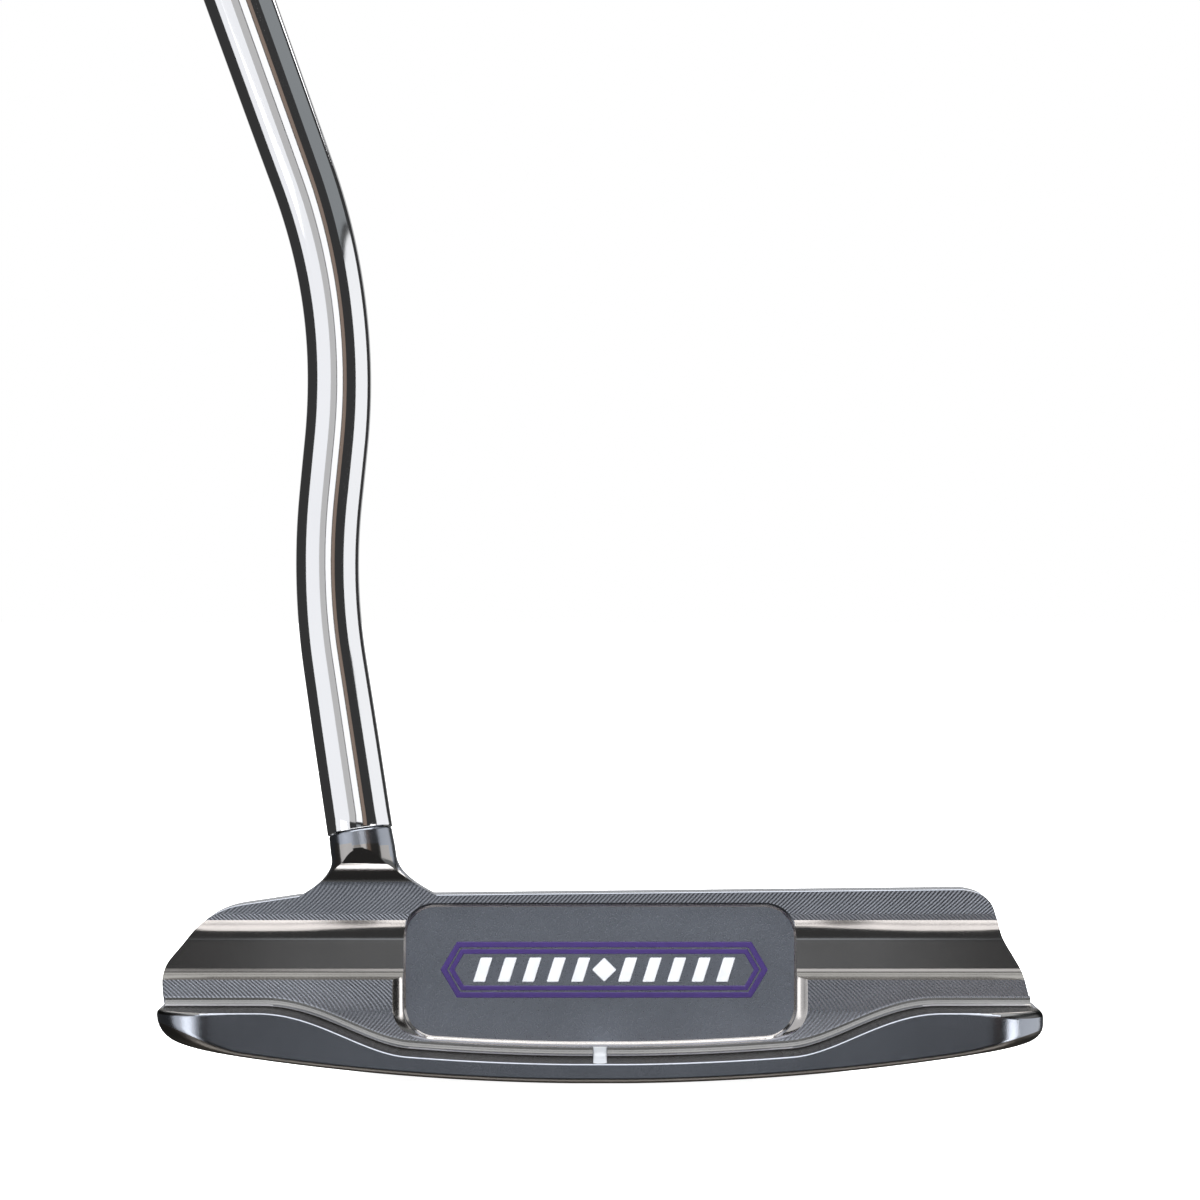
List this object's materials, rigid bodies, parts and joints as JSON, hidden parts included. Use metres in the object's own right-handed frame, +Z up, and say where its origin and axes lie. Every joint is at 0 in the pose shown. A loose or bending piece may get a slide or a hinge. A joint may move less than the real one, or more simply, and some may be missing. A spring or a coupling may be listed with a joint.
{
  "type": "blade putter",
  "caption": "Right-handed heel-shafted blade golf putter with a milled dark steel head, badge pocket on the rear, double-bend chrome shaft and black pistol grip",
  "frame": {"origin": "the middle of the flat strip under the sole, on the head's long centre line, at address", "axes": "+X from heel to toe, +Y from the rear of the head towards the target, +Z up"},
  "size_m": [0.3713, 0.0356, 0.8398],
  "materials": {
    "head_steel": "dark graphite vapour coating over milled steel, satin",
    "badge_paint": "purple enamel, semi-gloss",
    "white_paint": "white enamel, semi-gloss",
    "shaft_chrome": "bright chrome plate on steel tube",
    "epoxy": "cured epoxy",
    "tape": "double-sided masking tape",
    "grip_rubber": "matt black moulded rubber"
  },
  "bodies": {
    "root": {"head_body": "head_steel", "badge_outline_outer": "badge_paint", "badge_outline_inner": "badge_paint", "badge_lozenge": "white_paint", "badge_bar_heel_1": "white_paint", "badge_bar_heel_2": "white_paint", "badge_bar_heel_3": "white_paint", "badge_bar_heel_4": "white_paint", "badge_bar_heel_5": "white_paint", "badge_bar_toe_1": "white_paint", "badge_bar_toe_2": "white_paint", "badge_bar_toe_3": "white_paint", "badge_bar_toe_4": "white_paint", "badge_bar_toe_5": "white_paint", "sight_mark_paint": "white_paint", "shaft": "shaft_chrome", "shaft_epoxy": "epoxy", "grip_tape": "tape", "grip": "grip_rubber", "grip_cap": "grip_rubber"}
  },
  "joints": []
}
